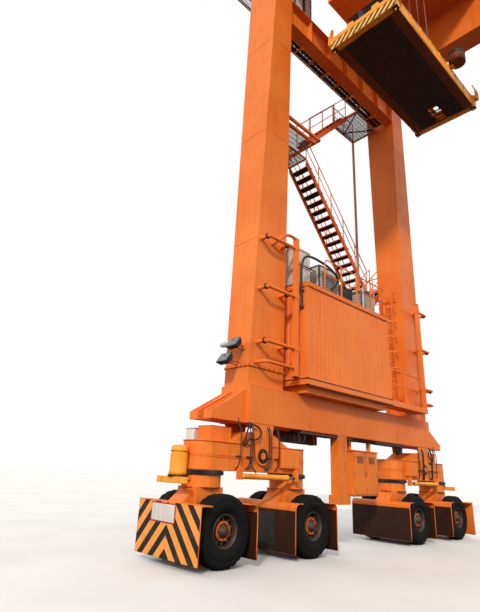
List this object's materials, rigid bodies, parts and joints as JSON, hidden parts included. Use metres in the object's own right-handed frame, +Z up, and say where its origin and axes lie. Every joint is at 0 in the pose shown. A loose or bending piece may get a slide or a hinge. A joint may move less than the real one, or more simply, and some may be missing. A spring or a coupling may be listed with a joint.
{
  "type": "rubber tyred gantry crane",
  "caption": "Tall orange portal frame on steered twin-tyre bogies, with a hoist trolley, cab and telescopic spreader that lift containers inside it.",
  "frame": {"origin": "on the ground, midway between the bogies and midway between the side frames", "axes": "+X the way the crane travels, +Y the way the trolley travels, towards the side with the power house and stairs, +Z up"},
  "size_m": [13.34, 28.41, 24.3398],
  "materials": {
    "orange_paint": "satin",
    "amber_paint": "satin",
    "dark_steel": "matte",
    "grey_paint": "satin",
    "bare_steel": "worn",
    "tyre_rubber": "matte",
    "cable_rubber": "matte",
    "cab_glass": "clear"
  },
  "bodies": {
    "frame": {"sill_beams": "orange_paint", "rocker_ears": "orange_paint", "legs": "orange_paint", "girders": "orange_paint", "end_ties": "orange_paint", "trolley_rails": "bare_steel", "walkways": "dark_steel", "handrails": "orange_paint", "house_base": "orange_paint", "power_house": "orange_paint", "roof_units": "grey_paint", "roof_rails": "orange_paint", "control_house": "orange_paint", "leg_guards": "orange_paint", "leg_ladder": "orange_paint", "stair_lower": "orange_paint", "stair_middle": "orange_paint", "stair_upper": "orange_paint", "stair_platforms": "dark_steel", "stair_rails": "orange_paint", "sill_cabinets": "amber_paint", "cable_tray": "dark_steel", "festoon_rail": "orange_paint", "festoon_cable": "cable_rubber", "floodlights": "dark_steel"},
    "trolley": {"trolley_frame": "orange_paint", "trolley_wheels": "bare_steel", "hoist_machinery": "grey_paint", "cab_shell": "orange_paint", "cab_windows": "cab_glass", "hoist_ropes": "bare_steel"},
    "spreader": {"headblock": "amber_paint", "spreader_frame": "amber_paint"},
    "spreader_end_a": {"spreader_end_a": "amber_paint"},
    "spreader_end_b": {"spreader_end_b": "amber_paint"},
    "flipper_1": {"flipper_1": "amber_paint"},
    "flipper_2": {"flipper_2": "amber_paint"},
    "flipper_3": {"flipper_3": "amber_paint"},
    "flipper_4": {"flipper_4": "amber_paint"},
    "bogie_beam_1": {"bogie_beam_1": "orange_paint"},
    "bogie_beam_2": {"bogie_beam_2": "orange_paint"},
    "bogie_beam_3": {"bogie_beam_3": "orange_paint"},
    "bogie_beam_4": {"bogie_beam_4": "orange_paint"},
    "yoke_1": {"yoke_1": "orange_paint"},
    "yoke_2": {"yoke_2": "orange_paint"},
    "yoke_3": {"yoke_3": "orange_paint"},
    "yoke_4": {"yoke_4": "orange_paint"},
    "yoke_5": {"yoke_5": "orange_paint"},
    "yoke_6": {"yoke_6": "orange_paint"},
    "yoke_7": {"yoke_7": "orange_paint"},
    "yoke_8": {"yoke_8": "orange_paint"},
    "wheel_pair_1": {"wheel_pair_1": "tyre_rubber"},
    "wheel_pair_2": {"wheel_pair_2": "tyre_rubber"},
    "wheel_pair_3": {"wheel_pair_3": "tyre_rubber"},
    "wheel_pair_4": {"wheel_pair_4": "tyre_rubber"},
    "wheel_pair_5": {"wheel_pair_5": "tyre_rubber"},
    "wheel_pair_6": {"wheel_pair_6": "tyre_rubber"},
    "wheel_pair_7": {"wheel_pair_7": "tyre_rubber"},
    "wheel_pair_8": {"wheel_pair_8": "tyre_rubber"}
  },
  "joints": [
    {"name": "trolley_travel", "type": "slide", "parent": "frame", "child": "trolley", "axis": [0, 1, 0], "range_m": [-17.45, 0.4], "deforming": ["festoon_cable"]},
    {"name": "hoist", "type": "slide", "parent": "trolley", "child": "spreader", "axis": [0, 0, 1], "range_m": [-13.1, 0.5], "deforming": ["hoist_ropes"]},
    {"name": "extend_a", "type": "slide", "parent": "spreader", "child": "spreader_end_a", "axis": [-1, 0, 0], "range_m": [0, 3.067]},
    {"name": "extend_b", "type": "slide", "parent": "spreader", "child": "spreader_end_b", "axis": [1, 0, 0], "range_m": [0, 3.067]},
    {"name": "flipper_turn_1", "type": "hinge", "parent": "spreader_end_a", "child": "flipper_1", "pos_m": [-2.914, 9.819, 16.08], "axis": [-1, 0, 0], "range_deg": [0, 180]},
    {"name": "flipper_turn_2", "type": "hinge", "parent": "spreader_end_b", "child": "flipper_2", "pos_m": [2.914, 9.819, 16.08], "axis": [-1, 0, 0], "range_deg": [0, 180]},
    {"name": "flipper_turn_3", "type": "hinge", "parent": "spreader_end_a", "child": "flipper_3", "pos_m": [-2.914, 7.231, 16.08], "axis": [1, 0, 0], "range_deg": [0, 180]},
    {"name": "flipper_turn_4", "type": "hinge", "parent": "spreader_end_b", "child": "flipper_4", "pos_m": [2.914, 7.231, 16.08], "axis": [1, 0, 0], "range_deg": [0, 180]},
    {"name": "rocker_1", "type": "hinge", "parent": "frame", "child": "bogie_beam_1", "pos_m": [-4.3, 11.735, 2.36], "axis": [0, 1, 0], "range_deg": [-3, 3]},
    {"name": "rocker_2", "type": "hinge", "parent": "frame", "child": "bogie_beam_2", "pos_m": [4.3, 11.735, 2.36], "axis": [0, 1, 0], "range_deg": [-3, 3]},
    {"name": "rocker_3", "type": "hinge", "parent": "frame", "child": "bogie_beam_3", "pos_m": [-4.3, -11.735, 2.36], "axis": [0, 1, 0], "range_deg": [-3, 3]},
    {"name": "rocker_4", "type": "hinge", "parent": "frame", "child": "bogie_beam_4", "pos_m": [4.3, -11.735, 2.36], "axis": [0, 1, 0], "range_deg": [-3, 3]},
    {"name": "steer_1", "type": "hinge", "parent": "bogie_beam_1", "child": "yoke_1", "pos_m": [-5.8, 11.735, 1.85], "axis": [0, 0, -1], "range_deg": [0, 90]},
    {"name": "steer_2", "type": "hinge", "parent": "bogie_beam_1", "child": "yoke_2", "pos_m": [-2.8, 11.735, 1.85], "axis": [0, 0, 1], "range_deg": [0, 90]},
    {"name": "steer_3", "type": "hinge", "parent": "bogie_beam_2", "child": "yoke_3", "pos_m": [5.8, 11.735, 1.85], "axis": [0, 0, 1], "range_deg": [0, 90]},
    {"name": "steer_4", "type": "hinge", "parent": "bogie_beam_2", "child": "yoke_4", "pos_m": [2.8, 11.735, 1.85], "axis": [0, 0, -1], "range_deg": [0, 90]},
    {"name": "steer_5", "type": "hinge", "parent": "bogie_beam_3", "child": "yoke_5", "pos_m": [-5.8, -11.735, 1.85], "axis": [0, 0, 1], "range_deg": [0, 90]},
    {"name": "steer_6", "type": "hinge", "parent": "bogie_beam_3", "child": "yoke_6", "pos_m": [-2.8, -11.735, 1.85], "axis": [0, 0, -1], "range_deg": [0, 90]},
    {"name": "steer_7", "type": "hinge", "parent": "bogie_beam_4", "child": "yoke_7", "pos_m": [5.8, -11.735, 1.85], "axis": [0, 0, -1], "range_deg": [0, 90]},
    {"name": "steer_8", "type": "hinge", "parent": "bogie_beam_4", "child": "yoke_8", "pos_m": [2.8, -11.735, 1.85], "axis": [0, 0, 1], "range_deg": [0, 90]},
    {"name": "spin_1", "type": "hinge", "parent": "yoke_1", "child": "wheel_pair_1", "pos_m": [-5.8, 11.735, 0.745], "axis": [0, 1, 0], "continuous": true},
    {"name": "spin_2", "type": "hinge", "parent": "yoke_2", "child": "wheel_pair_2", "pos_m": [-2.8, 11.735, 0.745], "axis": [0, 1, 0], "continuous": true},
    {"name": "spin_3", "type": "hinge", "parent": "yoke_3", "child": "wheel_pair_3", "pos_m": [5.8, 11.735, 0.745], "axis": [0, 1, 0], "continuous": true},
    {"name": "spin_4", "type": "hinge", "parent": "yoke_4", "child": "wheel_pair_4", "pos_m": [2.8, 11.735, 0.745], "axis": [0, 1, 0], "continuous": true},
    {"name": "spin_5", "type": "hinge", "parent": "yoke_5", "child": "wheel_pair_5", "pos_m": [-5.8, -11.735, 0.745], "axis": [0, 1, 0], "continuous": true},
    {"name": "spin_6", "type": "hinge", "parent": "yoke_6", "child": "wheel_pair_6", "pos_m": [-2.8, -11.735, 0.745], "axis": [0, 1, 0], "continuous": true},
    {"name": "spin_7", "type": "hinge", "parent": "yoke_7", "child": "wheel_pair_7", "pos_m": [5.8, -11.735, 0.745], "axis": [0, 1, 0], "continuous": true},
    {"name": "spin_8", "type": "hinge", "parent": "yoke_8", "child": "wheel_pair_8", "pos_m": [2.8, -11.735, 0.745], "axis": [0, 1, 0], "continuous": true}
  ],
  "couplings": [
    {"joint": "extend_b", "follows": "extend_a", "ratio": 1},
    {"joint": "steer_2", "follows": "steer_1", "ratio": 1},
    {"joint": "steer_4", "follows": "steer_3", "ratio": 1},
    {"joint": "steer_6", "follows": "steer_5", "ratio": 1},
    {"joint": "steer_8", "follows": "steer_7", "ratio": 1}
  ]
}
